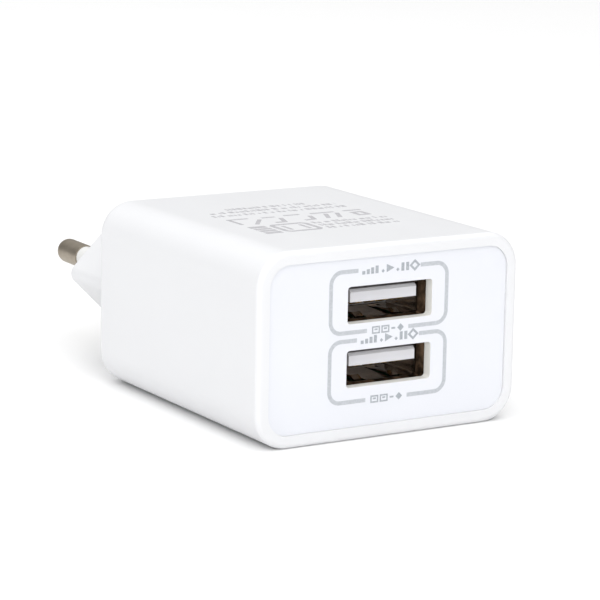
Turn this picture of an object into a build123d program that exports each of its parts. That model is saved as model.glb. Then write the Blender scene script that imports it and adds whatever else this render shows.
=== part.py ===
from build123d import *
import math
import os

os.makedirs("parts", exist_ok=True)

# A two-port USB mains charger with a fixed round-pin Europlug, lying on its broad side. Millimetres.
# X runs across the port face, Y from the ports (-Y) to the plug pins (+Y), Z is up.
# The origin is on the surface the charger lies on, under the middle of its whole length.

# Housing
body_width = 44.0
body_height = 28.3
body_depth = 49.2
wall = 2.4
long_edge_radius = 5.2
back_edge_radius = 2.4
front_edge_radius = 0.8

# Plug boss: a flat six-sided prism with pointed sides, as plug recesses and round sockets need
boss_width = 35.3
boss_height = 13.7
boss_length = 17.7
boss_drop = 0.6
boss_corner_radius = 1.7
boss_end_radius = 0.7
boss_wall = 2.4
boss_end_wall = 4.0
pin_recess_radius = 2.4
pin_recess_depth = 0.5

# Plug pins: 4 mm pins, 19 mm long, that lean towards each other
pin_length = 19.0
pin_radius = 2.0
pin_core_radius = 1.35
pin_tip_radius = 1.5
pin_spacing_at_boss = 18.8
pin_spacing_at_tip = 17.9
pin_head_radius = 2.9
pin_head_thickness = 1.4
pin_head_clearance = 0.1
pin_tail_radius = 1.2
pin_tail_length = 4.0
sleeve_radius = 1.8
sleeve_length = 11.0

# Front panel, set into the mouth of the housing
rim_width = 1.9
panel_recess = 0.3
panel_thickness = 1.6
panel_gap = 0.006
panel_edge_radius = 0.05
post_radius = 1.3
post_x = 15.5
post_z = 7.6
snap_x = 11.5
snap_width = 7.0
snap_thickness = 1.2
snap_length = 6.8
snap_barb = 0.6

# USB-A receptacles, one above the other
port_rise_upper = 5.5
port_rise_lower = -3.75
window_width = 14.3
window_height = 5.4
window_radius = 0.5
port_inner_width = 12.5
port_inner_height = 5.12
port_sheet = 0.3
port_front = 1.92
port_length = 12.48
port_flare_width = 14.2
port_flare_height = 6.3
port_flare_length = 0.8
tongue_width = 11.2
tongue_lip = 0.4
tongue_thickness = 1.84
tongue_drop = 0.72
tongue_front = 2.15
port_block_length = 3.6
contact_width = 1.0
contact_thickness = 0.25
contact_rows = (-3.5, -1.0, 1.0, 3.5)
shell_leg_height = 1.6

# Circuit boards
port_board_front = 14.6
port_board_thickness = 1.2
port_board_bottom = 2.9
port_board_top = 25.4
board_half_width = 19.2
main_board_bottom = 5.4
main_board_thickness = 1.6
main_board_front = 16.0
main_board_back = 45.6
lead_reach = 1.1
hole_slack = 0.2

# Values worked out from those above
mid_height = body_height / 2
boss_middle = mid_height - boss_drop
main_board_top = main_board_bottom + main_board_thickness
pin_lean = math.atan((pin_spacing_at_boss - pin_spacing_at_tip) / 2 / pin_length)
pin_head_start = boss_end_wall + pin_head_clearance
total_length = body_depth + boss_length + pin_length * math.cos(pin_lean)
front_y = -total_length / 2
body_back_y = front_y + body_depth
boss_end_y = body_back_y + boss_length
panel_front_y = front_y + panel_recess
panel_back_y = panel_front_y + panel_thickness
seat_width = body_width - 2 * rim_width
seat_height = body_height - 2 * rim_width
seat_radius = long_edge_radius - rim_width
cavity_width = body_width - 2 * wall
cavity_height = body_height - 2 * wall
cavity_half_width = cavity_width / 2
snap_start_y = panel_back_y + 4.2
ports = (("upper", mid_height + port_rise_upper), ("lower", mid_height + port_rise_lower))


def upright(y):
    """The vertical plane at y: its x is X and its y is Z. A negative extrusion runs towards the pins."""
    return Plane.XZ.offset(-y)


def behind(depth):
    """The Y of a point that lies this far behind the front edge."""
    return front_y + depth


def write(piece, name):
    piece.part.label = name
    export_step(piece.part, f"parts/{name}.step")


def boss_outline(inset):
    """The six-sided outline of the plug boss, drawn in by inset."""
    rounded_off = boss_corner_radius * (math.sqrt(2) - 1)
    half_height = boss_height / 2 - inset
    half_width = boss_width / 2 + rounded_off - inset * math.sqrt(2)
    flat_end = half_width - half_height
    with BuildSketch(mode=Mode.PRIVATE) as outline:
        with BuildLine():
            Polyline(
                (half_width, 0),
                (flat_end, half_height),
                (-flat_end, half_height),
                (-half_width, 0),
                (-flat_end, -half_height),
                (flat_end, -half_height),
                close=True,
            )
        make_face()
        fillet(outline.vertices(), boss_corner_radius)
    return outline.sketch


def pin_plane(sign, along):
    """The plane across one leaning pin, this far out from the end of the boss."""
    direction = Vector(-sign * math.sin(pin_lean), math.cos(pin_lean), 0)
    foot = Vector(sign * pin_spacing_at_boss / 2, boss_end_y, boss_middle)
    return Plane(origin=foot + direction * along, x_dir=(0, 0, 1), z_dir=direction)


# --- housing: a deep cup with the plug boss moulded on its back ---
with BuildPart() as housing:
    with BuildSketch(upright(front_y)):
        with Locations((0, mid_height)):
            RectangleRounded(body_width, body_height, long_edge_radius)
    extrude(amount=-body_depth)
    fillet(housing.faces().sort_by(Axis.Y)[-1].edges(), back_edge_radius)
    fillet(housing.faces().sort_by(Axis.Y)[0].edges(), front_edge_radius)
    with BuildSketch(upright(body_back_y - wall / 2)):
        with Locations((0, boss_middle)):
            add(boss_outline(0))
    extrude(amount=-(boss_length + wall / 2))
    fillet(housing.faces().sort_by(Axis.Y)[-1].edges(), boss_end_radius)
    # The seat of the front panel, then the cavity behind its ledge
    with BuildSketch(upright(front_y)):
        with Locations((0, mid_height)):
            RectangleRounded(seat_width, seat_height, seat_radius)
    extrude(amount=-(panel_recess + panel_thickness), mode=Mode.SUBTRACT)
    with BuildSketch(upright(front_y)):
        with Locations((0, mid_height)):
            RectangleRounded(cavity_width, cavity_height, long_edge_radius - wall)
    extrude(amount=-(body_depth - wall), mode=Mode.SUBTRACT)
    # The hollow of the boss, where the pins' heads sit
    with BuildSketch(upright(body_back_y - wall - 1)):
        with Locations((0, boss_middle)):
            add(boss_outline(boss_wall))
    extrude(amount=-(boss_length + wall + 1 - boss_end_wall), mode=Mode.SUBTRACT)
    # Rails that hold the main board: a sill below it and a rib above it, along both sides
    rail_width = 1.5
    rail_start = port_board_front + port_board_thickness + 0.1
    rail_length = body_depth - wall - rail_start
    for sign in (-1, 1):
        rail_x = sign * (cavity_half_width - rail_width / 2 + 0.1)
        with BuildSketch(upright(behind(rail_start))):
            with Locations((rail_x, (wall + main_board_bottom - 0.1) / 2)):
                Rectangle(rail_width + 0.2, main_board_bottom - wall - 0.1)
            with Locations((rail_x, main_board_top + 0.1 + 0.75)):
                Rectangle(rail_width + 0.2, 1.5)
        extrude(amount=-rail_length)
        # Pockets for the snap hooks, and the pin's bore
        with Locations(
            (sign * snap_x, snap_start_y + 1.2, wall - 0.4),
            (sign * snap_x, snap_start_y + 1.2, body_height - wall + 0.4),
        ):
            Box(snap_width + 0.6, 2.8, 0.8 + snap_barb / 2, mode=Mode.SUBTRACT)
        with BuildSketch(pin_plane(sign, -boss_end_wall - 1)):
            Circle(sleeve_radius + 0.02)
        extrude(amount=boss_end_wall + 2, mode=Mode.SUBTRACT)
    # A shallow ring recess around each pin in the end of the boss
    with BuildSketch(upright(boss_end_y - pin_recess_depth)):
        with Locations((0, boss_middle)):
            with GridLocations(pin_spacing_at_boss, 0, 2, 1):
                Circle(pin_recess_radius)
    extrude(amount=-2 * pin_recess_depth, mode=Mode.SUBTRACT)
write(housing, "housing")

# --- front_panel: recessed plate with two port windows, four posts and four snap arms ---
with BuildPart() as front_panel:
    with BuildSketch(upright(panel_front_y)):
        with Locations((0, mid_height)):
            RectangleRounded(seat_width - 2 * panel_gap, seat_height - 2 * panel_gap, seat_radius - panel_gap)
        for _, port_z in ports:
            with Locations((0, port_z)):
                RectangleRounded(window_width, window_height, window_radius, mode=Mode.SUBTRACT)
    extrude(amount=-panel_thickness)
    front_rim = front_panel.faces().sort_by(Axis.Y)[0].outer_wire().edges()
    fillet(front_rim, panel_edge_radius)
    # Posts that press the port board against the rails
    with BuildSketch(upright(panel_back_y)):
        with Locations((0, mid_height)):
            with GridLocations(2 * post_x, 2 * post_z, 2, 2):
                Circle(post_radius)
    extrude(amount=-(behind(port_board_front) - panel_back_y - 0.05))
    # Snap arms with outward barbs
    for sign in (-1, 1):
        arm_z = mid_height + sign * (cavity_height / 2 - 0.15 - snap_thickness / 2)
        barb_z = mid_height + sign * (cavity_height / 2 - 0.15)
        for arm_x in (-snap_x, snap_x):
            with BuildSketch(upright(panel_back_y)):
                with Locations((arm_x, arm_z)):
                    Rectangle(snap_width, snap_thickness)
            extrude(amount=-snap_length)
            with BuildSketch(Plane.YZ.offset(arm_x - snap_width / 2)):
                with BuildLine():
                    Polyline(
                        (snap_start_y, barb_z),
                        (snap_start_y + 0.3, barb_z + sign * snap_barb),
                        (snap_start_y + 0.9, barb_z + sign * snap_barb),
                        (snap_start_y + 2.3, barb_z),
                        (snap_start_y + 2.3, barb_z - sign * 0.3),
                        (snap_start_y, barb_z - sign * 0.3),
                        close=True,
                    )
                make_face()
            extrude(amount=snap_width)
write(front_panel, "front_panel")

# --- plug pins, their insulating sleeves and the leads soldered to their tails ---
lead_radius = 0.85
lead_core_radius = 0.35
lead_foot_x = 6.0
lead_foot_y = behind(44.0)
for side, sign, mains in (("left", -1, "neutral"), ("right", 1, "live")):
    with BuildPart() as plug_pin:
        with BuildSketch(pin_plane(sign, -pin_head_start)):
            Circle(pin_core_radius)
        extrude(amount=pin_head_start + sleeve_length)
        with BuildSketch(pin_plane(sign, sleeve_length)):
            Circle(pin_radius)
        extrude(amount=pin_length - sleeve_length)
        fillet(plug_pin.edges().sort_by(Axis.Y)[-1], pin_tip_radius)
        with BuildSketch(pin_plane(sign, -pin_head_start)):
            Circle(pin_head_radius)
        extrude(amount=-pin_head_thickness)
        with BuildSketch(pin_plane(sign, -pin_head_start - pin_head_thickness)):
            Circle(pin_tail_radius)
        extrude(amount=-pin_tail_length)
    write(plug_pin, f"{side}_plug_pin")

    with BuildPart() as pin_sleeve:
        with BuildSketch(pin_plane(sign, -boss_end_wall + 0.02)):
            Circle(sleeve_radius)
            Circle(pin_core_radius + 0.01, mode=Mode.SUBTRACT)
        extrude(amount=boss_end_wall + sleeve_length - 0.04)
    write(pin_sleeve, f"{side}_pin_sleeve")

    tail_end = pin_plane(sign, -pin_head_start - pin_head_thickness - pin_tail_length - 0.02)
    with BuildPart() as mains_lead:
        with BuildLine() as lead_route:
            FilletPolyline(
                tail_end.origin,
                tail_end.origin - tail_end.z_dir * 5,
                (sign * lead_foot_x, lead_foot_y, boss_middle - 0.6),
                (sign * lead_foot_x, lead_foot_y, main_board_top + 0.4),
                radius=2.0,
            )
        with BuildSketch(tail_end):
            Circle(lead_radius)
        sweep(path=lead_route.line)
        with BuildSketch(Plane.XY.offset(main_board_bottom - lead_reach)):
            with Locations((sign * lead_foot_x, lead_foot_y)):
                Circle(lead_core_radius)
        extrude(amount=main_board_thickness + lead_reach + 0.6)
    write(mains_lead, f"{mains}_lead")

# --- the two USB-A receptacles: shell, insulator with its tongue, and four sprung contacts ---
tongue_rise = port_inner_height / 2 - tongue_drop - tongue_thickness
contact_rise = tongue_rise - contact_thickness / 2 - 0.08
shell_outer_width = port_inner_width + 2 * port_sheet
shell_outer_height = port_inner_height + 2 * port_sheet
for place, port_z in ports:
    with BuildPart() as shell:
        with BuildSketch(upright(behind(port_front + port_flare_length))):
            with Locations((0, port_z)):
                RectangleRounded(shell_outer_width, shell_outer_height, 0.6)
                RectangleRounded(port_inner_width, port_inner_height, 0.3, mode=Mode.SUBTRACT)
        extrude(amount=port_flare_length - port_length)
        # The mouth flares out behind the panel to lead a plug in
        for grow, corner, mode in ((port_sheet, 0.6, Mode.ADD), (0, 0.3, Mode.SUBTRACT)):
            with BuildSketch(upright(behind(port_front))):
                with Locations((0, port_z)):
                    RectangleRounded(port_flare_width + 2 * grow, port_flare_height + 2 * grow, corner)
            with BuildSketch(upright(behind(port_front + port_flare_length))):
                with Locations((0, port_z)):
                    RectangleRounded(port_inner_width + 2 * grow, port_inner_height + 2 * grow, corner)
            loft(mode=mode)
        # Windows above and below, each with a spring finger that leans into the mouth
        for sign in (-1, 1):
            sheet_z = port_z + sign * (port_inner_height + port_sheet) / 2
            with Locations((-3.1, behind(port_front + 4.6), sheet_z), (3.1, behind(port_front + 4.6), sheet_z)):
                Box(2.2, 6.8, 2 * port_sheet, mode=Mode.SUBTRACT)
            for finger_x in (-3.1, 3.1):
                with BuildSketch(Plane.YZ.offset(finger_x - 0.7)):
                    with BuildLine():
                        Polyline(
                            (behind(port_front + 8.4), sheet_z),
                            (behind(port_front + 7.6), sheet_z),
                            (behind(port_front + 2.7), sheet_z - sign * 0.6),
                            (behind(port_front + 1.7), sheet_z - sign * 0.15),
                        )
                    trace(line_width=0.25)
                extrude(amount=1.4)
        # Legs that pass through the port board
        with BuildSketch(upright(behind(port_front + port_length - 0.5))):
            with GridLocations(port_inner_width + port_sheet, 0, 2, 1):
                with Locations((0, port_z)):
                    Rectangle(port_sheet, shell_leg_height)
        extrude(amount=-(port_board_front + port_board_thickness + lead_reach - port_front - port_length + 0.5))
    write(shell, f"{place}_port_shell")

    with BuildPart() as insulator:
        with BuildSketch(upright(behind(tongue_front))):
            with Locations((0, port_z + tongue_rise + tongue_thickness / 2)):
                Rectangle(tongue_width, tongue_thickness)
        extrude(amount=-(port_front + port_length - tongue_front))
        chamfer(insulator.faces().sort_by(Axis.Y)[0].edges().group_by(Axis.Z)[-1], tongue_lip)
        with BuildSketch(upright(behind(port_front + port_length - port_block_length))):
            with Locations((0, port_z)):
                RectangleRounded(port_inner_width - 0.1, port_inner_height - 0.1, 0.3)
            for contact_x in contact_rows:
                with Locations((contact_x, port_z + contact_rise)):
                    Rectangle(contact_width + 0.1, contact_thickness + 0.1, mode=Mode.SUBTRACT)
        extrude(amount=-port_block_length)
    write(insulator, f"{place}_port_tongue")

    with BuildPart() as contacts:
        for contact_x in contact_rows:
            with BuildSketch(Plane.YZ.offset(contact_x - contact_width / 2)):
                with BuildLine():
                    Polyline(
                        (behind(port_board_front + port_board_thickness + lead_reach), port_z + contact_rise),
                        (behind(tongue_front + 4.6), port_z + contact_rise),
                        (behind(tongue_front + 2.6), port_z + contact_rise - 0.55),
                        (behind(tongue_front + 1.0), port_z + contact_rise),
                    )
                trace(line_width=contact_thickness)
            extrude(amount=contact_width)
    write(contacts, f"{place}_port_contacts")

# --- places of the parts on the main board, as (X, distance behind the front edge) ---
transformer_depth = 30.0
bulk_places = (("left", -14.0, 40.0), ("right", 14.0, 40.0))
output_places = (("left", -14.0, 21.0), ("right", 14.0, 21.0))
can_lead_pitch = 3.5
can_lead_radius = 0.3
fuse_depth = 38.7
fuse_lead_x = 6.6
choke_x, choke_depth = -14.5, 32.8
y_capacitor_x, y_capacitor_depth = 10.2, 28.4
y_lead_pitch = 7.5
link_depth = 17.3
link_rows = 6
link_pitch = 2.54
link_pin = 0.64
link_height = 4.1
transformer_pin_x = (-5.1, -1.7, 1.7, 5.1)
transformer_pin_reach = 5.0
transformer_pin_radius = 0.35


def pair_across(x, depth, pitch):
    return [(x - pitch / 2, behind(depth)), (x + pitch / 2, behind(depth))]


can_lead_places = []
for _, can_x, can_depth in bulk_places + output_places:
    can_lead_places += pair_across(can_x, can_depth, can_lead_pitch)
small_lead_places = pair_across(0, fuse_depth, 2 * fuse_lead_x) + pair_across(choke_x, choke_depth, 4.0)
for along in (-1, 1):
    small_lead_places.append((y_capacitor_x, behind(y_capacitor_depth) + along * y_lead_pitch / 2))
    small_lead_places.append((along * lead_foot_x, lead_foot_y))
transformer_pin_places = []
for pin_x in transformer_pin_x:
    for along in (-1, 1):
        transformer_pin_places.append((pin_x, behind(transformer_depth) + along * transformer_pin_reach))
link_places = [((n - (link_rows - 1) / 2) * link_pitch, behind(link_depth)) for n in range(link_rows)]

# --- main_board ---
with BuildPart() as main_board:
    with BuildSketch(Plane.XY.offset(main_board_bottom)):
        with Locations((0, behind((main_board_front + main_board_back) / 2))):
            Rectangle(2 * board_half_width, main_board_back - main_board_front)
        with Locations(*can_lead_places, *small_lead_places, *transformer_pin_places):
            Circle(transformer_pin_radius + hole_slack, mode=Mode.SUBTRACT)
        with Locations(*link_places):
            Circle(link_pin / math.sqrt(2) + 0.1, mode=Mode.SUBTRACT)
        # Isolation slot between the mains side and the USB side
        with Locations((-7.6, behind(23.6))):
            SlotOverall(5.0, 1.0, mode=Mode.SUBTRACT)
    extrude(amount=main_board_thickness)
write(main_board, "main_board")

# --- port_board: stands across the housing behind the receptacles ---
with BuildPart() as port_board:
    with BuildSketch(upright(behind(port_board_front))):
        with Locations((0, (port_board_bottom + port_board_top) / 2)):
            RectangleRounded(2 * board_half_width - 0.4, port_board_top - port_board_bottom, 2.6)
        for _, port_z in ports:
            for contact_x in contact_rows:
                with Locations((contact_x, port_z + contact_rise)):
                    Rectangle(contact_width + 0.3, contact_thickness + 0.3, mode=Mode.SUBTRACT)
            with Locations((0, port_z)):
                with GridLocations(port_inner_width + port_sheet, 0, 2, 1):
                    Rectangle(port_sheet + 0.4, shell_leg_height + 0.4, mode=Mode.SUBTRACT)
        for link_x, _ in link_places:
            with Locations((link_x, link_height)):
                Circle(link_pin / math.sqrt(2) + 0.1, mode=Mode.SUBTRACT)
    extrude(amount=-port_board_thickness)
write(port_board, "port_board")

# --- the right-angle header that joins the two boards ---
link_base_bottom = 2.95
with BuildPart() as link_base:
    with BuildSketch(Plane.XY.offset(link_base_bottom)):
        with Locations((0, behind(link_depth))):
            Rectangle(link_rows * link_pitch, 2.4)
    extrude(amount=main_board_bottom - link_base_bottom - 0.05)
    for link_x, _ in link_places:
        with Locations((link_x, behind(link_depth), main_board_bottom)):
            Box(link_pin + 0.04, link_pin + 0.04, 2 * (main_board_bottom - link_height) + 2, mode=Mode.SUBTRACT)
        with Locations((link_x, behind(link_depth - 1.5), link_height)):
            Box(link_pin + 0.04, 3.0 + link_pin, link_pin + 0.04, mode=Mode.SUBTRACT)
write(link_base, "board_link_base")

with BuildPart() as link_pins:
    upright_top = main_board_top + lead_reach
    upright_bottom = link_height - link_pin / 2
    for link_x, _ in link_places:
        with Locations((link_x, behind(link_depth), (upright_top + upright_bottom) / 2)):
            Box(link_pin, link_pin, upright_top - upright_bottom)
        with Locations((link_x, behind(link_depth - 1.9), link_height)):
            Box(link_pin, 3.8, link_pin)
write(link_pins, "board_link_pins")


# --- the four electrolytic cans: a crimped, sleeved can on two leads ---
def electrolytic_can(name, x, depth, radius, height):
    foot = main_board_top + 0.2
    with BuildPart() as can:
        with BuildSketch(Plane.XZ.offset(-behind(depth))):
            with BuildLine():
                Polyline(
                    (x, foot),
                    (x + radius - 0.4, foot),
                    (x + radius, foot + 0.4),
                    (x + radius, foot + 1.3),
                    (x + radius - 0.35, foot + 1.7),
                    (x + radius, foot + 2.1),
                    (x + radius, foot + height - 0.5),
                    (x + radius - 0.5, foot + height),
                    (x + radius - 1.1, foot + height),
                    (x + radius - 1.3, foot + height - 0.25),
                    (x, foot + height - 0.25),
                    close=True,
                )
            make_face()
        revolve(axis=Axis((x, behind(depth), 0), (0, 0, 1)))
        with BuildSketch(Plane.XY.offset(main_board_bottom - lead_reach)):
            with Locations(*pair_across(x, depth, can_lead_pitch)):
                Circle(can_lead_radius)
        extrude(amount=main_board_thickness + lead_reach + 0.4)
    write(can, name)


for side, can_x, can_depth in bulk_places:
    electrolytic_can(f"{side}_bulk_capacitor", can_x, can_depth, 4.0, 14.5)
for side, can_x, can_depth in output_places:
    electrolytic_can(f"{side}_output_capacitor", can_x, can_depth, 4.0, 11.5)

# --- fuse_resistor: a ceramic body with end caps, lying across the board ---
with BuildPart() as fuse_resistor:
    fuse_z = main_board_top + 2.1
    with BuildSketch(Plane.YZ.offset(-4.5)):
        with Locations((behind(fuse_depth), fuse_z)):
            Circle(1.6)
    extrude(amount=9.0)
    for cap_start in (-4.7, 3.0):
        with BuildSketch(Plane.YZ.offset(cap_start)):
            with Locations((behind(fuse_depth), fuse_z)):
                Circle(1.8)
        extrude(amount=1.7)
    for sign in (-1, 1):
        with BuildLine() as wire_route:
            FilletPolyline(
                (sign * 4.2, behind(fuse_depth), fuse_z),
                (sign * fuse_lead_x, behind(fuse_depth), fuse_z),
                (sign * fuse_lead_x, behind(fuse_depth), main_board_bottom - lead_reach),
                radius=0.9,
            )
        with BuildSketch(Plane(wire_route.line @ 0, z_dir=wire_route.line % 0)):
            Circle(0.3)
        sweep(path=wire_route.line)
write(fuse_resistor, "fuse_resistor")

# --- the input choke: a ferrite drum and its copper winding ---
choke_foot = main_board_top + 0.3
with BuildPart() as choke_core:
    for disc_start in (0, 6.2):
        with BuildSketch(Plane.XY.offset(choke_foot + disc_start)):
            with Locations((choke_x, behind(choke_depth))):
                Circle(2.8)
        extrude(amount=1.2)
    with BuildSketch(Plane.XY.offset(choke_foot)):
        with Locations((choke_x, behind(choke_depth))):
            Circle(1.3)
    extrude(amount=7.0)
    with BuildSketch(Plane.XY.offset(main_board_bottom - lead_reach)):
        with Locations(*pair_across(choke_x, choke_depth, 4.0)):
            Circle(0.3)
    extrude(amount=main_board_thickness + lead_reach + 0.4)
write(choke_core, "input_choke_core")

with BuildPart() as choke_winding:
    with BuildSketch(Plane.XY.offset(choke_foot + 1.25)):
        with Locations((choke_x, behind(choke_depth))):
            Circle(2.5)
            Circle(1.32, mode=Mode.SUBTRACT)
    extrude(amount=4.9)
write(choke_winding, "input_choke_winding")

# --- y_capacitor: a dipped disc that bridges the two sides of the transformer ---
with BuildPart() as y_capacitor:
    disc_z = main_board_top + 5.2
    with BuildSketch(Plane.YZ.offset(y_capacitor_x - 1.3)):
        with Locations((behind(y_capacitor_depth), disc_z)):
            Circle(4.2)
    extrude(amount=2.6)
    fillet(y_capacitor.edges().filter_by(GeomType.CIRCLE), 1.1)
    with BuildSketch(Plane.XY.offset(main_board_bottom - lead_reach)):
        with Locations((y_capacitor_x, behind(y_capacitor_depth))):
            with GridLocations(0, y_lead_pitch, 1, 2):
                Circle(0.3)
    extrude(amount=disc_z - main_board_bottom + lead_reach)
write(y_capacitor, "y_capacitor")

# --- transformer: two E cores that meet at mid height, on a bobbin with a vertical axis ---
core_width = 16.0
core_thickness = 5.0
core_half_height = 7.0
core_yoke = 2.2
core_outer_leg = 2.0
core_centre_leg = 4.0
core_foot = main_board_top + 0.3
core_middle = core_foot + core_half_height
window_bottom = core_foot + core_yoke
window_top = core_middle + core_half_height - core_yoke
transformer_y = behind(transformer_depth)
for place, sign in (("lower", -1), ("upper", 1)):
    with BuildPart() as core_half:
        with BuildSketch(upright(transformer_y - core_thickness / 2)):
            with Locations((0, core_middle + sign * core_half_height / 2)):
                Rectangle(core_width, core_half_height)
            for leg_sign in (-1, 1):
                slot = core_width / 2 - core_outer_leg - core_centre_leg / 2
                slot_x = leg_sign * (core_centre_leg / 2 + slot / 2)
                with Locations((slot_x, core_middle + sign * (core_half_height - core_yoke) / 2)):
                    Rectangle(slot, core_half_height - core_yoke, mode=Mode.SUBTRACT)
        extrude(amount=-core_thickness)
        chamfer(core_half.edges().filter_by(Axis.Y).group_by(Axis.Z)[-1 if sign > 0 else 0], 0.3)
    write(core_half, f"transformer_{place}_core")

bobbin_bottom = window_bottom + 0.1
bobbin_top = window_top - 0.1
flange = 0.8
with BuildPart() as bobbin:
    with BuildSketch(Plane.XY.offset(bobbin_bottom)):
        with Locations((0, transformer_y)):
            RectangleRounded(5.5, 6.5, 0.4)
    extrude(amount=bobbin_top - bobbin_bottom)
    for flange_z in (bobbin_bottom, bobbin_top - flange):
        with BuildSketch(Plane.XY.offset(flange_z)):
            with Locations((0, transformer_y)):
                RectangleRounded(11.6, 13.0, 0.6)
        extrude(amount=flange)
    # Rails under the lower flange that carry the pins
    with BuildSketch(Plane.XY.offset(core_foot)):
        with Locations((0, transformer_y)):
            with GridLocations(0, 2 * transformer_pin_reach, 1, 2):
                Rectangle(14.0, 3.2)
    extrude(amount=bobbin_bottom - core_foot + 0.1)
    with BuildSketch(Plane.XY.offset(core_foot)):
        with Locations((0, transformer_y)):
            Rectangle(core_centre_leg + 0.3, core_thickness + 0.3)
    extrude(amount=2 * core_half_height, mode=Mode.SUBTRACT)
    with BuildSketch(Plane.XY.offset(core_foot)):
        with Locations(*transformer_pin_places):
            Circle(transformer_pin_radius + 0.02)
    extrude(amount=1.8, mode=Mode.SUBTRACT)
write(bobbin, "transformer_bobbin")

with BuildPart() as transformer_pins:
    with BuildSketch(Plane.XY.offset(main_board_bottom - lead_reach)):
        with Locations(*transformer_pin_places):
            Circle(transformer_pin_radius)
    extrude(amount=core_foot + 1.7 - main_board_bottom + lead_reach)
write(transformer_pins, "transformer_pins")

winding_bottom = bobbin_bottom + flange + 0.05
winding_height = bobbin_top - bobbin_bottom - 2 * flange - 0.1
winding_layers = (
    ("transformer_primary", 5.6, 2.5),
    ("transformer_secondary", 8.2, 2.0),
    ("transformer_tape", 10.3, 0.5),
)
for layer, inner_width, build_up in winding_layers:
    with BuildPart() as winding:
        with BuildSketch(Plane.XY.offset(winding_bottom)):
            with Locations((0, transformer_y)):
                RectangleRounded(inner_width + build_up, inner_width + 1.0 + build_up, 1.2)
                RectangleRounded(inner_width, inner_width + 1.0, 0.4, mode=Mode.SUBTRACT)
        extrude(amount=winding_height)
    write(winding, layer)

with BuildPart() as core_tape:
    with BuildSketch(upright(transformer_y - 2.2)):
        with Locations((0, core_middle)):
            RectangleRounded(core_width + 0.5, 2 * core_half_height + 0.5, 0.4)
            Rectangle(core_width + 0.04, 2 * core_half_height + 0.04, mode=Mode.SUBTRACT)
    extrude(amount=-4.4)
write(core_tape, "transformer_core_tape")


# --- moulded packages with gull-wing legs along their two long sides ---
def moulded_package(name, x, depth, width, length, height, legs, leg_width, reach):
    """Body width runs along X and length along Y, and the legs stand out along X."""
    with BuildPart() as package:
        with Locations((x, behind(depth), main_board_top + 0.15 + height / 2)):
            Box(width, length, height)
        chamfer(package.faces().sort_by(Axis.Z)[-1].edges(), 0.2)
        leg_pitch = length / legs
        for n in range(legs):
            leg_y = behind(depth) + (n - (legs - 1) / 2) * leg_pitch
            with Locations((x, leg_y, main_board_top + 0.15)):
                Box(width + 2 * reach, leg_width, 0.26)
            with Locations((x, leg_y, main_board_top + 0.15 + height / 4)):
                Box(width + reach, leg_width, height / 2)
    write(package, name)


moulded_package("bridge_rectifier", 0, 42.9, 5.0, 4.4, 2.0, 2, 0.8, 0.9)
moulded_package("primary_controller", 14.6, 33.2, 3.9, 4.9, 1.5, 4, 0.45, 0.9)
moulded_package("optocoupler", -14.0, 27.4, 6.2, 4.4, 2.6, 2, 0.6, 0.9)
moulded_package("snubber_diode", 14.9, 28.4, 4.2, 2.6, 2.1, 1, 1.4, 0.5)
moulded_package("output_rectifier", 0, 21.2, 5.4, 4.0, 1.1, 1, 3.2, 0.6)

# --- charge_controllers: one small six-leg package behind each receptacle, on the port board ---
with BuildPart() as charge_controllers:
    port_board_back_y = behind(port_board_front + port_board_thickness)
    with Locations((-8.6, port_board_back_y + 0.7, 22.0), (8.6, port_board_back_y + 0.7, 22.0)):
        Box(1.6, 1.1, 2.9)
    for package_x in (-8.6, 8.6):
        with BuildSketch(upright(port_board_back_y + 0.02)):
            with Locations((package_x, 22.0)):
                with GridLocations(0, 0.95, 1, 3):
                    Rectangle(2.8, 0.4)
        extrude(amount=-0.4)
write(charge_controllers, "charge_controllers")

# --- chip_parts: small resistors and capacitors under the main board ---
chip_places = (
    (-14.0, 35.6), (-9.4, 40.8), (-2.2, 41.6), (2.2, 41.6), (9.4, 36.2), (14.2, 35.6), (14.6, 29.0),
    (11.6, 26.2), (-9.6, 29.6), (-10.4, 25.8), (-14.6, 24.8), (0.0, 21.0), (4.0, 21.0), (9.6, 20.4),
)
with BuildPart() as chip_parts:
    with BuildSketch(Plane.XY.offset(main_board_bottom - 0.62)):
        with Locations(*[(chip_x, behind(chip_depth)) for chip_x, chip_depth in chip_places]):
            Rectangle(2.0, 1.25)
    extrude(amount=0.6)
write(chip_parts, "chip_parts")

# --- insulating_sheet: under the main board, on the floor of the housing ---
with BuildPart() as insulating_sheet:
    with BuildSketch(Plane.XY.offset(wall + 0.05)):
        with Locations((0, behind(32.6))):
            RectangleRounded(2 * cavity_half_width - 2 * 2.9, 27.0, 1.5)
    extrude(amount=0.3)
write(insulating_sheet, "insulating_sheet")
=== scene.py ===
import math
import random

import bmesh
import bpy
from mathutils import Matrix, Vector


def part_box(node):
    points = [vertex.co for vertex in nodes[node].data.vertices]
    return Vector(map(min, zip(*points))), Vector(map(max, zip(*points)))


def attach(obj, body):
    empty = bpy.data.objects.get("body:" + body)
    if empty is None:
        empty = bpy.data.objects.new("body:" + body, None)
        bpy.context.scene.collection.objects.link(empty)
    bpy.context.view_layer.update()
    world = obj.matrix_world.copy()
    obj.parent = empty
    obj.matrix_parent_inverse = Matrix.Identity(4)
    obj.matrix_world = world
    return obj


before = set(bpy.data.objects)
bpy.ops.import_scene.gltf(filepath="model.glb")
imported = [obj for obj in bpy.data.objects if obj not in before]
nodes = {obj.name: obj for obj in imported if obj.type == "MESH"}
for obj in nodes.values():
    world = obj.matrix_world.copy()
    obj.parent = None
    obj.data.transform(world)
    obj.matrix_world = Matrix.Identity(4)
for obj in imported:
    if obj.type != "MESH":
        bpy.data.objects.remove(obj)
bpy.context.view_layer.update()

MM = 0.001
ROOT = "root"


# ---------------------------------------------------------------- places read from the frame

def box_mm(node):
    """A CAD node's lowest and highest corner, in millimetres."""
    low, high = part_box(node)
    return Vector(low) / MM, Vector(high) / MM


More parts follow.
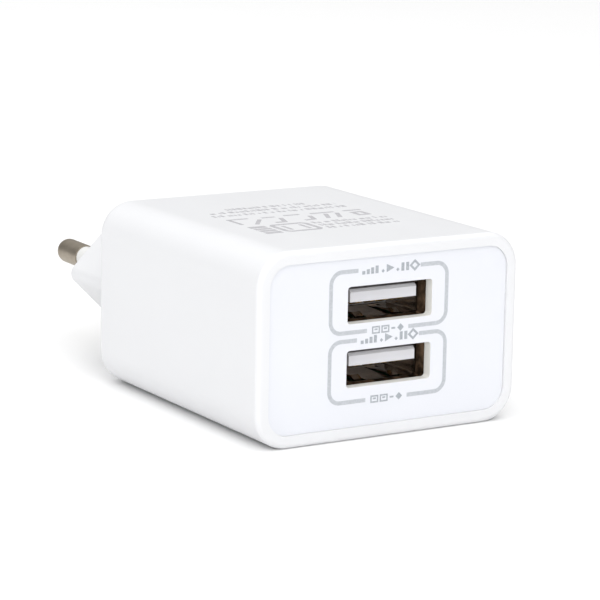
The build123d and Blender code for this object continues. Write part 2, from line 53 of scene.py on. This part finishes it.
body_low, body_high = box_mm("housing")
panel_low, _ = box_mm("front_panel")
_, board_high = box_mm("main_board")
FRONT_Y = body_low.y
PANEL_Y = panel_low.y
TOP_Z = body_high.z
MID_Z = (body_low.z + body_high.z) / 2
BOARD_TOP = board_high.z


# ---------------------------------------------------------------- materials

class Shader:
    """A node material with one Principled shader, and short calls for the nodes that feed it."""

    def __init__(self, name, **sockets):
        self.material = bpy.data.materials.new(name)
        self.material.use_nodes = True
        self.tree = self.material.node_tree
        self.shader = self.tree.nodes["Principled BSDF"]
        coordinates = self.tree.nodes.new("ShaderNodeTexCoord")
        self.place = coordinates.outputs["Object"]
        self.normal = coordinates.outputs["Normal"]
        for socket, value in sockets.items():
            self.shader.inputs[socket.replace("_", " ")].default_value = value

    def node(self, kind, vector=None, **inputs):
        made = self.tree.nodes.new(kind)
        for socket, value in inputs.items():
            made.inputs[socket.replace("_", " ")].default_value = value
        if vector is not None:
            self.tree.links.new(vector, made.inputs["Vector"])
        return made

    def stretched(self, stretch):
        return self.node("ShaderNodeMapping", self.place, Scale=stretch).outputs["Vector"]

    def noise(self, scale, detail=3.0, roughness=0.5, stretch=(1, 1, 1)):
        where = self.stretched(stretch)
        cloud = self.node("ShaderNodeTexNoise", where, Scale=scale, Detail=detail, Roughness=roughness)
        return cloud.outputs["Fac"]

    def grains(self, size):
        """Cells about this size in metres, each with its own number from 0 to 1."""
        cells = self.node("ShaderNodeTexVoronoi", self.place, Scale=1 / size)
        return self.node("ShaderNodeSeparateXYZ", cells.outputs["Color"]).outputs["X"]

    def bands(self, axis, pitch, distortion=0.0):
        """Ridges that repeat along an axis every pitch metres. The node's own pitch is pi / 10 at scale 1."""
        scale = math.pi / 10 / pitch
        wave = self.node("ShaderNodeTexWave", self.place, Scale=scale, Distortion=distortion)
        wave.bands_direction = axis
        return wave.outputs["Fac"]

    def along(self, axis, start, end, of=None):
        """A step from 0 at start to 1 at end along an object axis, or along the surface's normal."""
        split = self.node("ShaderNodeSeparateXYZ", self.place if of is None else of)
        return self.span(split.outputs[axis], 0, 1, start, end)

    def either(self, first, second):
        node = self.tree.nodes.new("ShaderNodeMath")
        node.operation = "MAXIMUM"
        self.tree.links.new(first, node.inputs[0])
        self.tree.links.new(second, node.inputs[1])
        return node.outputs["Value"]

    def faces_along(self, axis, least=0.6):
        """1 on the faces that look up or down an axis, and 0 on the rest."""
        ahead = self.along(axis, least, least + 0.05, of=self.normal)
        behind = self.along(axis, -least, -least - 0.05, of=self.normal)
        return self.either(ahead, behind)

    def ramp(self, factor, low, high, start=0.3, end=0.7):
        """A colour that runs from low to high as the factor goes from start to end."""
        node = self.node("ShaderNodeValToRGB")
        node.color_ramp.elements[0].position = start
        node.color_ramp.elements[1].position = end
        node.color_ramp.elements[0].color = (*low, 1)
        node.color_ramp.elements[1].color = (*high, 1)
        self.tree.links.new(factor, node.inputs["Fac"])
        return node.outputs["Color"]

    def span(self, factor, low, high, start=0.0, end=1.0):
        """A number that runs from low to high as the factor goes from start to end."""
        node = self.tree.nodes.new("ShaderNodeMapRange")
        for socket, value in (("From Min", start), ("From Max", end), ("To Min", low), ("To Max", high)):
            node.inputs[socket].default_value = value
        self.tree.links.new(factor, node.inputs["Value"])
        return node.outputs["Result"]

    def mix(self, factor, first, second):
        """The first colour where the factor is 0 and the second where it is 1."""
        node = self.tree.nodes.new("ShaderNodeMixRGB")
        self.tree.links.new(factor, node.inputs["Fac"])
        self.tree.links.new(first, node.inputs["Color1"])
        self.tree.links.new(second, node.inputs["Color2"])
        return node.outputs["Color"]

    def bump(self, factor, strength, distance, under=None):
        node = self.node("ShaderNodeBump", Strength=strength, Distance=distance)
        self.tree.links.new(factor, node.inputs["Height"])
        if under is not None:
            self.tree.links.new(under, node.inputs["Normal"])
        return node.outputs["Normal"]

    def feed(self, socket, output):
        self.tree.links.new(output, self.shader.inputs[socket])


def flow_tone(made, light, shade):
    """Faint long streaks of tone, left as the plastic ran into its mould."""
    return made.ramp(made.noise(60.0, 4.0, 0.55, stretch=(1, 0.35, 1)), shade, light)


def uneven_gloss(made, roughness):
    made.feed("Roughness", made.span(made.noise(240.0, 4.0), roughness - 0.05, roughness + 0.05))


def moulded_plastic(name, light, shade, roughness, grain=0.05):
    """Injection-moulded plastic: faint flow tone, a fine spark-eroded grain and uneven gloss."""
    made = Shader(name)
    made.feed("Base Color", flow_tone(made, light, shade))
    uneven_gloss(made, roughness)
    fine = made.bump(made.noise(5200.0, 2.0), grain, 0.00004)
    made.feed("Normal", made.bump(made.noise(90.0, 2.0), 0.06, 0.0002, under=fine))
    return made.material


def plating_tone(made, light, shade):
    """The uneven tint of plated metal."""
    return made.ramp(made.noise(420.0, 5.0, 0.6), shade, light)


def scuffing(made, lines):
    """Small scuffs, drawn out where lines says so."""
    return made.noise(1500.0, 4.0, 0.65, stretch=lines)


def metal(name, light, shade, roughness, lines=(1, 1, 1)):
    """Plated metal: uneven tint, fine lines and small scuffs in the gloss."""
    made = Shader(name, Metallic=1.0)
    made.feed("Base Color", plating_tone(made, light, shade))
    scuffs = scuffing(made, lines)
    made.feed("Roughness", made.span(scuffs, roughness - 0.08, roughness + 0.12))
    made.feed("Normal", made.bump(scuffs, 0.12, 0.00003))
    return made.material


def window_plate(name, light, shade, cut, roughness):
    """The front panel's glossy plastic; the walls where its windows are cut through get a brighter, warmer
    colour, which is painted light reflected onto them.
    """
    made = Shader(name)
    # Painted light: the window walls are coloured brighter and warmer than the panel, standing in for light
    # reflected onto them.
    painted_light_on_cuts = made.ramp(made.noise(300.0, 4.0), [0.96 * part for part in cut], cut)
    made.feed("Base Color", made.mix(made.faces_along("Y", 0.8), painted_light_on_cuts, flow_tone(made, light, shade)))
    uneven_gloss(made, roughness)
    made.feed("Normal", made.bump(made.noise(5200.0, 2.0), 0.02, 0.00004))
    return made.material


MOUTH_DEPTH = 2.9
MOUTH_FADE = 0.5


def shell_plating(name, light, shade, mouth):
    """Plated sheet metal, duller on its flared mouth, which is coloured dark brown as a painted dark
    reflection.
    """
    made = Shader(name, Metallic=1.0)
    sheet = plating_tone(made, light, shade)
    streaks = made.noise(700.0, 5.0, 0.65, stretch=(1, 0.3, 0.4))
    # Painted reflection: the flared mouth is coloured a streaked dark brown, standing in for the dark cavity
    # reflected in the metal.
    painted_dark_reflection = made.ramp(streaks, [0.15 * part for part in mouth], mouth, 0.4, 0.6)
    mouth_end = FRONT_Y + MOUTH_DEPTH
    at_mouth = made.along("Y", (mouth_end + MOUTH_FADE) * MM, mouth_end * MM)
    made.feed("Base Color", made.mix(at_mouth, sheet, painted_dark_reflection))
    scuffs = scuffing(made, (1, 6, 1))
    made.feed("Roughness", made.either(made.span(scuffs, 0.10, 0.28), made.span(at_mouth, 0.0, 0.55)))
    made.feed("Normal", made.bump(scuffs, 0.12, 0.00003))
    return made.material


def printing_ink(name, light, shade):
    """Screen-printed ink: matt, and speckled where the screen left it thin."""
    made = Shader(name, Roughness=0.62)
    made.feed("Base Color", made.ramp(made.noise(2600.0, 5.0, 0.7), light, shade, 0.35, 0.6))
    made.feed("Normal", made.bump(made.noise(6000.0, 2.0), 0.15, 0.00002))
    return made.material


TIN_LIGHT, TIN_SHADE = (0.62, 0.62, 0.60), (0.48, 0.48, 0.47)
LEAD_EDGE = 0.02 * MM


def part_with_leads(name, light, shade, roughness, tinned, grain=0.0006, **sockets):
    """An electronic part: its own body, and tinned metal where tinned(shader) is 1."""
    made = Shader(name, **sockets)
    body = made.ramp(made.grains(grain), shade, light, 0.0, 1.0)
    tin = made.ramp(made.noise(900.0, 4.0), TIN_SHADE, TIN_LIGHT)
    where = tinned(made)
    made.feed("Base Color", made.mix(where, body, tin))
    made.feed("Metallic", where)
    made.feed("Roughness", made.span(where, roughness, 0.3))
    made.feed("Normal", made.bump(made.noise(2400.0, 4.0), 0.12, 0.00006))
    return made.material


def near_board(made, height):
    """1 up to this many millimetres above the main board, and 0 above that."""
    top = (BOARD_TOP + height) * MM
    return made.along("Z", top + LEAD_EDGE, top - LEAD_EDGE)


def wound_wire(name, light, shade, pitch):
    """Turns of enamelled wire, laid side by side up a winding, each turn coloured darker towards the grooves
    between turns as painted shade.
    """
    made = Shader(name, Metallic=0.85, Coat_Weight=0.4)
    turns = made.bands("Z", pitch, 0.6)
    # Painted shade: the wire's colour darkens into the grooves between turns.
    made.feed("Base Color", made.ramp(turns, shade, light, 0.1, 0.8))
    made.feed("Roughness", made.span(made.noise(900.0, 3.0), 0.24, 0.4))
    made.feed("Normal", made.bump(turns, 0.8, 0.0001))
    return made.material


def polyester_tape(name, light, shade):
    """Thin tape pulled tight: smooth, with faint wrinkles and lap lines."""
    made = Shader(name, Coat_Weight=0.5, Coat_Roughness=0.15)
    wrinkles = made.noise(300.0, 5.0, 0.6, stretch=(1, 1, 4))
    made.feed("Base Color", made.ramp(wrinkles, shade, light))
    made.feed("Roughness", made.span(wrinkles, 0.18, 0.34))
    made.feed("Normal", made.bump(made.bands("Z", 0.0026, 1.5), 0.3, 0.00008))
    return made.material


def laminate(name, face_axis):
    """Fibreglass board: green mask over copper tracks on its faces, bare glass weave on its edges."""
    made = Shader(name, Coat_Weight=0.3, Coat_Roughness=0.2)
    on_face = made.place
    if face_axis == "Y":
        on_face = made.node("ShaderNodeMapping", on_face, Rotation=(math.pi / 2, 0, 0)).outputs["Vector"]
    tracks = made.node("ShaderNodeTexBrick", on_face, Scale=110.0, Mortar_Size=0.035)
    tracks.offset = 0.37
    weave = made.noise(1800.0, 3.0, stretch=(1, 1, 6))
    mask = made.ramp(tracks.outputs["Fac"], (0.010, 0.085, 0.032), (0.032, 0.18, 0.060), 0.0, 1.0)
    edge = made.ramp(weave, (0.32, 0.33, 0.16), (0.45, 0.44, 0.24))
    made.feed("Base Color", made.mix(made.faces_along(face_axis), edge, mask))
    made.feed("Roughness", made.span(weave, 0.28, 0.42))
    made.feed("Normal", made.bump(tracks.outputs["Fac"], 0.35, 0.00005))
    return made.material


def sleeved_can(name, light, shade, stripe_light, stripe_shade):
    """A capacitor can in a shrunk sleeve with a stripe down one side, and a bare aluminium top."""
    made = Shader(name, Coat_Weight=0.5, Coat_Roughness=0.12)
    grain = made.noise(500.0, 4.0, stretch=(1, 1, 0.3))
    sleeve = made.ramp(grain, shade, light)
    stripe = made.ramp(grain, stripe_shade, stripe_light)
    bare = made.ramp(made.noise(1200.0, 4.0, stretch=(1, 6, 1)), TIN_SHADE, TIN_LIGHT)
    bare_here = made.either(made.along("Z", 0.7, 0.75, of=made.normal), near_board(made, 0.15))
    coloured = made.mix(made.along("Y", 0.955, 0.96, of=made.normal), sleeve, stripe)
    made.feed("Base Color", made.mix(bare_here, coloured, bare))
    made.feed("Metallic", bare_here)
    made.feed("Roughness", made.span(grain, 0.26, 0.38))
    made.feed("Normal", made.bump(grain, 0.1, 0.00005))
    return made.material


def fibre_sheet(name, light, shade):
    """Pressed fibre sheet with visible fibres."""
    made = Shader(name, Roughness=0.85)
    fibres = made.noise(1400.0, 6.0, 0.75, stretch=(1, 0.2, 1))
    made.feed("Base Color", made.ramp(fibres, shade, light))
    made.feed("Normal", made.bump(fibres, 0.4, 0.00005))
    return made.material


housing_white = moulded_plastic("housing_white", (0.745, 0.750, 0.765), (0.728, 0.733, 0.748), 0.36)
# The front panel's third colour is the painted light on its window walls.
panel_white = window_plate("panel_white", (0.738, 0.75, 0.792), (0.722, 0.735, 0.777),
                           (0.95, 0.94, 0.90), 0.24)
sleeve_white = moulded_plastic("sleeve_white", (0.76, 0.76, 0.75), (0.72, 0.72, 0.71), 0.42)
tongue_white = moulded_plastic("tongue_white", (0.68, 0.68, 0.71), (0.60, 0.60, 0.63), 0.38)
header_black = moulded_plastic("header_black", (0.030, 0.030, 0.032), (0.020, 0.020, 0.022), 0.5, 0.2)
bobbin_black = moulded_plastic("bobbin_black", (0.036, 0.034, 0.032), (0.022, 0.021, 0.020), 0.45, 0.2)
lead_brown = moulded_plastic("lead_brown", (0.16, 0.070, 0.035), (0.11, 0.048, 0.024), 0.4, 0.1)
lead_blue = moulded_plastic("lead_blue", (0.03, 0.11, 0.42), (0.02, 0.08, 0.32), 0.4, 0.1)
ink_grey = printing_ink("ink_grey", (0.52, 0.54, 0.57), (0.44, 0.46, 0.49))
mark_grey = printing_ink("mark_grey", (0.42, 0.445, 0.475), (0.32, 0.345, 0.375))
label_grey = printing_ink("label_grey", (0.50, 0.49, 0.51), (0.39, 0.39, 0.41))
# The pins' nickel gets a darker base colour than bare nickel, as a painted dark reflection of the
# surroundings.
pin_nickel = metal("pin_nickel", (0.41, 0.36, 0.29), (0.31, 0.27, 0.215), 0.42, lines=(1, 14, 1))
# The shell's third colour is the painted dark reflection on its flared mouth.
shell_metal = shell_plating("shell_metal", (0.56, 0.48, 0.40), (0.42, 0.35, 0.28), (0.10, 0.064, 0.040))
contact_gold = metal("contact_gold", (0.80, 0.58, 0.26), (0.66, 0.46, 0.20), 0.24)
tinned_metal = metal("tinned_metal", TIN_LIGHT, TIN_SHADE, 0.32, lines=(1, 1, 5))


def under(height):
    """Tinned up to this many millimetres above the main board."""
    return lambda made: near_board(made, height)


def at_the_sides(made):
    return made.faces_along("X")


def fuse_caps(made):
    """The two metal end caps of the fusible resistor, beyond its bare middle."""
    middle = 2.95 * MM
    edge = 0.05 * MM
    return made.either(made.along("X", middle, middle + edge), made.along("X", -middle, -middle - edge))


ferrite_grey = part_with_leads("ferrite_grey", (0.055, 0.056, 0.060), (0.025, 0.026, 0.028), 0.55,
                               under(0.25), grain=0.0002)
copper_wire = wound_wire("copper_wire", (0.62, 0.25, 0.09), (0.22, 0.07, 0.025), 0.00025)
choke_wire = wound_wire("choke_wire", (0.66, 0.30, 0.10), (0.25, 0.09, 0.03), 0.0004)
tape_yellow = polyester_tape("tape_yellow", (0.76, 0.52, 0.035), (0.62, 0.40, 0.020))
board_green = laminate("board_green", "Z")
port_board_green = laminate("port_board_green", "Y")
bulk_sleeve = sleeved_can("bulk_sleeve", (0.020, 0.030, 0.085), (0.012, 0.018, 0.055),
                          (0.52, 0.54, 0.58), (0.42, 0.44, 0.48))
output_sleeve = sleeved_can("output_sleeve", (0.055, 0.030, 0.020), (0.035, 0.018, 0.012),
                            (0.60, 0.48, 0.22), (0.50, 0.38, 0.16))
fuse_ceramic = part_with_leads("fuse_ceramic", (0.10, 0.20, 0.13), (0.07, 0.15, 0.10), 0.4,
                               fuse_caps, grain=0.0003)
disc_blue = part_with_leads("disc_blue", (0.030, 0.11, 0.40), (0.020, 0.08, 0.31), 0.25,
                            under(0.95), grain=0.002, Coat_Weight=0.5)
package_black = part_with_leads("package_black", (0.030, 0.030, 0.033), (0.018, 0.018, 0.020), 0.6,
                                under(0.42), grain=0.00015)
controller_black = part_with_leads("controller_black", (0.030, 0.030, 0.033), (0.018, 0.018, 0.020), 0.6,
                                   at_the_sides, grain=0.00015)
opto_white = part_with_leads("opto_white", (0.66, 0.66, 0.63), (0.58, 0.58, 0.55), 0.55,
                             under(0.42), grain=0.00015)
chip_brown = part_with_leads("chip_brown", (0.24, 0.15, 0.085), (0.17, 0.10, 0.055), 0.5,
                             at_the_sides, grain=0.0002)
fish_paper = fibre_sheet("fish_paper", (0.62, 0.56, 0.40), (0.50, 0.44, 0.30))

NODE_LOOKS = {
    "housing": housing_white,
    "front_panel": panel_white,
    "left_pin_sleeve": sleeve_white,
    "right_pin_sleeve": sleeve_white,
    "left_plug_pin": pin_nickel,
    "right_plug_pin": pin_nickel,
    "live_lead": lead_brown,
    "neutral_lead": lead_blue,
    "upper_port_shell": shell_metal,
    "lower_port_shell": shell_metal,
    "upper_port_tongue": tongue_white,
    "lower_port_tongue": tongue_white,
    "upper_port_contacts": contact_gold,
    "lower_port_contacts": contact_gold,
    "main_board": board_green,
    "port_board": port_board_green,
    "board_link_base": header_black,
    "board_link_pins": contact_gold,
    "left_bulk_capacitor": bulk_sleeve,
    "right_bulk_capacitor": bulk_sleeve,
    "left_output_capacitor": output_sleeve,
    "right_output_capacitor": output_sleeve,
    "fuse_resistor": fuse_ceramic,
    "input_choke_core": ferrite_grey,
    "input_choke_winding": choke_wire,
    "y_capacitor": disc_blue,
    "transformer_lower_core": ferrite_grey,
    "transformer_upper_core": ferrite_grey,
    "transformer_bobbin": bobbin_black,
    "transformer_pins": tinned_metal,
    "transformer_primary": copper_wire,
    "transformer_secondary": copper_wire,
    "transformer_tape": tape_yellow,
    "transformer_core_tape": tape_yellow,
    "bridge_rectifier": package_black,
    "primary_controller": package_black,
    "optocoupler": opto_white,
    "snubber_diode": package_black,
    "output_rectifier": package_black,
    "charge_controllers": controller_black,
    "chip_parts": chip_brown,
    "insulating_sheet": fish_paper,
}


def paint(piece, material):
    piece.data.materials.clear()
    piece.data.materials.append(material)


for name, piece in nodes.items():
    for slot in piece.material_slots:
        slot.material = NODE_LOOKS[name]


# ---------------------------------------------------------------- printed marks

def mesh_piece(name, build, material):
    """A new piece whose mesh is filled in by build(bmesh), in millimetres."""
    data = bpy.data.meshes.new(name)
    shape = bmesh.new()
    build(shape)
    bmesh.ops.scale(shape, vec=(MM, MM, MM), verts=shape.verts)
    bmesh.ops.recalc_face_normals(shape, faces=shape.faces)
    shape.to_mesh(data)
    shape.free()
    piece = bpy.data.objects.new(name, data)
    bpy.context.scene.collection.objects.link(piece)
    paint(piece, material)
    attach(piece, ROOT)


def front_point(x, z, proud=0.0):
    """A point on the front panel, x to the right and z up from the body's middle."""
    return Vector((x, PANEL_Y - proud, MID_Z + z))


def top_point(x, depth, proud=0.0):
    """A point on the top face, x to the right and depth behind the front edge."""
    return Vector((x, FRONT_Y + depth, TOP_Z + proud))


INK = 0.015


def ink_patch(shape, outline, on):
    """A thin raised patch of ink with that outline, a list of (x, y) on the face that `on` maps."""
    low = [shape.verts.new(on(x, y)) for x, y in outline]
    high = [shape.verts.new(on(x, y, INK)) for x, y in outline]
    shape.faces.new(high)
    shape.faces.new(low[::-1])
    for n in range(len(outline)):
        m = (n + 1) % len(outline)
        shape.faces.new((low[n], low[m], high[m], high[n]))


def ink_line(shape, path, width, on, closed=False):
    """A raised line of ink along a path, square at its ends."""
    points = [Vector(point) for point in path]
    count = len(points)
    rings = []
    for n, point in enumerate(points):
        into = (point - points[n - 1]).normalized() if closed or n > 0 else None
        out = (points[(n + 1) % count] - point).normalized() if closed or n < count - 1 else None
        into, out = into or out, out or into
        along = (into + out).normalized()
        across = Vector((-along.y, along.x))
        reach = across * width / 2 / across.dot(Vector((-into.y, into.x)))
        left, right = point + reach, point - reach
        rings.append([shape.verts.new(on(left.x, left.y)), shape.verts.new(on(left.x, left.y, INK)),
                      shape.verts.new(on(right.x, right.y, INK)), shape.verts.new(on(right.x, right.y))])
    pairs = list(zip(rings, rings[1:]))
    if closed:
        pairs.append((rings[-1], rings[0]))
    for near, far in pairs:
        for n in range(4):
            m = (n + 1) % 4
            shape.faces.new((near[n], near[m], far[m], far[n]))
    if not closed:
        shape.faces.new(rings[0])
        shape.faces.new(rings[-1][::-1])


def ink_bar(shape, left, right, bottom, top, on):
    ink_patch(shape, [(left, bottom), (right, bottom), (right, top), (left, top)], on)


def ink_box(shape, left, right, bottom, top, width, on):
    """A hollow rectangle, drawn with a line of that width that stays inside it."""
    half = width / 2
    corners = [(left + half, bottom + half), (right - half, bottom + half),
               (right - half, top - half), (left + half, top - half)]
    ink_line(shape, corners, width, on, closed=True)


def ink_diamond(shape, x, y, reach, on):
    ink_patch(shape, [(x, y - reach), (x + reach, y), (x, y + reach), (x - reach, y)], on)


ARC_STEPS = 10


def arc(x, y, radius, start, end):
    """Points along an arc about (x, y), angles in degrees."""
    angles = [math.radians(start + (end - start) * n / ARC_STEPS) for n in range(ARC_STEPS + 1)]
    return [(x + radius * math.cos(angle), y + radius * math.sin(angle)) for angle in angles]


FRAME_LEFT, FRAME_RIGHT = -9.98, 9.65
FRAME_RADIUS = 1.75
FRAME_STROKE = 0.6
GAP_ABOVE = (-5.5, 5.05)
GAP_BELOW = (-3.85, 3.2)


def port_frame(bottom, top):
    """The two halves of a rounded frame whose top and bottom lines are broken by a gap."""
    radius = FRAME_RADIUS

    def build(shape):
        left = [(GAP_ABOVE[0], top)]
        left += arc(FRAME_LEFT + radius, top - radius, radius, 90, 180)
        left += arc(FRAME_LEFT + radius, bottom + radius, radius, 180, 270)
        left += [(GAP_BELOW[0], bottom)]
        right = [(GAP_ABOVE[1], top)]
        right += arc(FRAME_RIGHT - radius, top - radius, radius, 90, 0)
        right += arc(FRAME_RIGHT - radius, bottom + radius, radius, 0, -90)
        right += [(GAP_BELOW[1], bottom)]
        for path in (left, right):
            ink_line(shape, path, FRAME_STROKE, front_point)

    return build


def ink_wedge(shape, left, right, bottom, top, on):
    """A solid triangle that points to the right."""
    ink_patch(shape, [(left, bottom), (right, (bottom + top) / 2), (left, top)], on)


DOT_REACH = 0.28


def rating_marks(level):
    """Rising bars, a wedge, two blocks and a hollow diamond, with dots between them."""
    bar_width, bar_pitch = 0.5, 0.74
    tall = 1.2
    diamond_x, diamond_reach = 4.05, 0.65

    def build(shape):
        foot = level - 0.62
        for n, height in enumerate((0.5, 0.7, 0.9, 1.1)):
            left = -4.85 + bar_pitch * n
            ink_bar(shape, left, left + bar_width, foot, foot + height, front_point)
        for dot_x in (-1.35, 1.15):
            ink_diamond(shape, dot_x, foot + 0.26, DOT_REACH, front_point)
        ink_wedge(shape, -0.75, 0.55, foot, foot + tall, front_point)
        for left in (1.75, 2.55):
            ink_bar(shape, left, left + bar_width, foot, foot + tall, front_point)
        middle = foot + diamond_reach
        corners = [(diamond_x, foot), (diamond_x + 0.7, middle),
                   (diamond_x, foot + 2 * diamond_reach), (diamond_x - 0.7, middle)]
        ink_line(shape, corners, 0.32, front_point, closed=True)

    return build


def socket_marks(level):
    """Two hollow blocks with a bar inside, as a port's mouth looks, a dash and a diamond."""
    block_width, block_height = 1.35, 1.1

    def build(shape):
        foot = level - block_height / 2
        for left in (-3.0, -1.4):
            ink_box(shape, left, left + block_width, foot, foot + block_height, 0.22, front_point)
            ink_bar(shape, left + 0.42, left + 0.93, foot + 0.5, foot + 0.75, front_point)
        ink_bar(shape, 0.3, 0.95, foot + 0.42, foot + 0.68, front_point)
        ink_diamond(shape, 1.85, level, 0.56, front_point)

    return build


PORT_FRAMES = (("upper", 1.6, 10.42), ("lower", -8.5, 0.38))
for place, frame_bottom, frame_top in PORT_FRAMES:
    mesh_piece(f"{place}_port_frame", port_frame(frame_bottom, frame_top), ink_grey)
    mesh_piece(f"{place}_rating_marks", rating_marks(frame_top), mark_grey)
    mesh_piece(f"{place}_socket_marks", socket_marks(frame_bottom), mark_grey)


# The printed block on the top face: x to the right, depth behind the front edge

def small_print(shape, left, right, foot, height, order):
    """A line of small bars of mixed width, as grey as a line of print."""
    x = left
    while x < right:
        width = order.choice((0.3, 0.5, 0.8))
        tall = height * order.choice((0.65, 1.0, 1.0))
        ink_bar(shape, x, min(x + width, right), foot, foot + tall, top_point)
        x += width + order.choice((0.25, 0.3, 0.7))


def label_blocks(shape):
    """Four solid blocks in a column, and beside them a frame with cut corners and two bars in it."""
    for foot, top in ((13.2, 14.5), (14.9, 16.0), (16.4, 17.4), (17.8, 19.1)):
        ink_bar(shape, -12.8, -10.0, foot, top, top_point)
    left, right, bottom, top = -9.0, -3.3, 13.6, 19.0
    cut_x, cut_y = 0.5, 0.6
    corners = [(left + cut_x, bottom), (right - cut_x, bottom), (right, bottom + cut_y),
               (right, top - cut_y), (right - cut_x, top), (left + cut_x, top),
               (left, top - cut_y), (left, bottom + cut_y)]
    ink_line(shape, corners, 0.75, top_point, closed=True)
    for bar_left in (-7.9, -4.9):
        ink_bar(shape, bar_left, bar_left + 0.55, 14.7, 17.9, top_point)


def label_symbols(shape):
    """A row of plain strokes: a bar above, and a bent, slanted or closed stroke below it."""
    thin, middling, thick = 0.6, 0.65, 0.75
    strokes = (
        (thin, (-12.3, 21.2), (-12.3, 25.4), (-9.0, 25.4)),
        (middling, (-10.2, 20.6), (-7.8, 24.0)),
        (thin, (-6.9, 25.0), (-4.6, 25.0)),
        (thick, (-6.9, 20.8), (-5.3, 20.8), (-4.3, 23.8)),
        (thin, (-2.9, 25.3), (-0.2, 25.3)),
        (thick, (-1.9, 20.7), (-0.2, 20.9), (0.6, 23.6)),
        (middling, (1.6, 25.1), (5.8, 25.1)),
        (0.7, (2.2, 20.7), (3.7, 24.1)),
        (0.7, (4.2, 20.7), (5.7, 24.1)),
        (middling, (7.4, 25.1), (10.5, 25.1)),
    )
    for width, *path in strokes:
        ink_line(shape, path, width, top_point)
    ink_box(shape, 7.6, 9.9, 20.8, 23.8, thick, top_point)


def label_small_print(shape):
    """Three short lines beside the frame, and three longer ones behind the symbols."""
    order = random.Random(11)
    for foot in (13.5, 15.6, 17.7):
        small_print(shape, -2.1, 10.7, foot, 1.35, order)
    for foot, left, right in ((28.2, -13.0, 10.4), (30.5, -12.2, 9.8), (32.7, -8.2, 5.9)):
        small_print(shape, left, right, foot, 1.25, order)


for name, build in (("label_blocks", label_blocks), ("label_symbols", label_symbols),
                    ("label_small_print", label_small_print)):
    mesh_piece(name, build, label_grey)


# ---------------------------------------------------------------- stage, lights and camera

def stage_floor():
    data = bpy.data.meshes.new("floor")
    shape = bmesh.new()
    reach = 9.0
    height = -0.01 * MM
    outline = ((-reach, -reach), (reach, -reach), (reach, reach), (-reach, reach))
    corners = [shape.verts.new((x, y, height)) for x, y in outline]
    shape.faces.new(corners)
    shape.to_mesh(data)
    shape.free()
    floor = bpy.data.objects.new("floor", data)
    bpy.context.scene.collection.objects.link(floor)
    look = Shader("floor_white", Roughness=0.9)
    look.feed("Base Color", look.ramp(look.noise(6.0), (0.875, 0.875, 0.875), (0.89, 0.89, 0.89)))
    paint(floor, look.material)


stage_floor()

world = bpy.data.worlds.new("studio")
bpy.context.scene.world = world
world.use_nodes = True
world.node_tree.nodes["Background"].inputs["Color"].default_value = (1.0, 1.0, 1.0, 1)
world.node_tree.nodes["Background"].inputs["Strength"].default_value = 0.37


def soft_light(name, place, aim, size, power):
    light = bpy.data.lights.new(name, "AREA")
    light.shape = "RECTANGLE"
    light.size, light.size_y = size
    light.energy = power
    lamp = bpy.data.objects.new(name, light)
    bpy.context.scene.collection.objects.link(lamp)
    lamp.location = Vector(place)
    lamp.rotation_mode = "QUATERNION"
    lamp.rotation_quaternion = (Vector(aim) - lamp.location).to_track_quat("-Z", "Y")


soft_light("overhead", (0, 0.15, 2.5), (0, 0.15, 0), (4.0, 4.7), 84.0)
soft_light("front_key", (-0.33, -0.907, 0.557), (0, 0, 0.01), (0.8, 0.8), 5.9)
soft_light("left_fill", (-0.9, -0.1, 0.62), (0, 0, 0.01), (0.7, 0.7), 2.25)

# The camera stands to the left of the port face, a little above the charger, with a long lens
CAMERA_PLACE = Vector((-204.3, FRONT_Y - 308.5, MID_Z + 81.7))
CAMERA_TURN, CAMERA_TILT, CAMERA_ROLL = 31.5, 11.64, -1.04
CAMERA_FOCUS = 2656 / 600
SENSOR = 36.0

azimuth, tilt, roll = (math.radians(angle) for angle in (CAMERA_TURN, CAMERA_TILT, CAMERA_ROLL))
forward = Vector((math.sin(azimuth) * math.cos(tilt), math.cos(azimuth) * math.cos(tilt), -math.sin(tilt)))
level = Vector((math.cos(azimuth), -math.sin(azimuth), 0))
down = forward.cross(level)
side = math.cos(roll) * level + math.sin(roll) * down
up = math.sin(roll) * level - math.cos(roll) * down
lens = bpy.data.cameras.new("camera")
lens.sensor_width = SENSOR
lens.lens = CAMERA_FOCUS * SENSOR
lens.clip_start, lens.clip_end = 0.01, 10
camera = bpy.data.objects.new("camera", lens)
bpy.context.scene.collection.objects.link(camera)
turn = Matrix((side, up, -forward)).transposed()
camera.matrix_world = Matrix.Translation(CAMERA_PLACE * MM) @ turn.to_4x4()
bpy.context.scene.camera = camera

bpy.context.scene.view_settings.view_transform = "Standard"
bpy.context.scene.view_settings.look = "None"
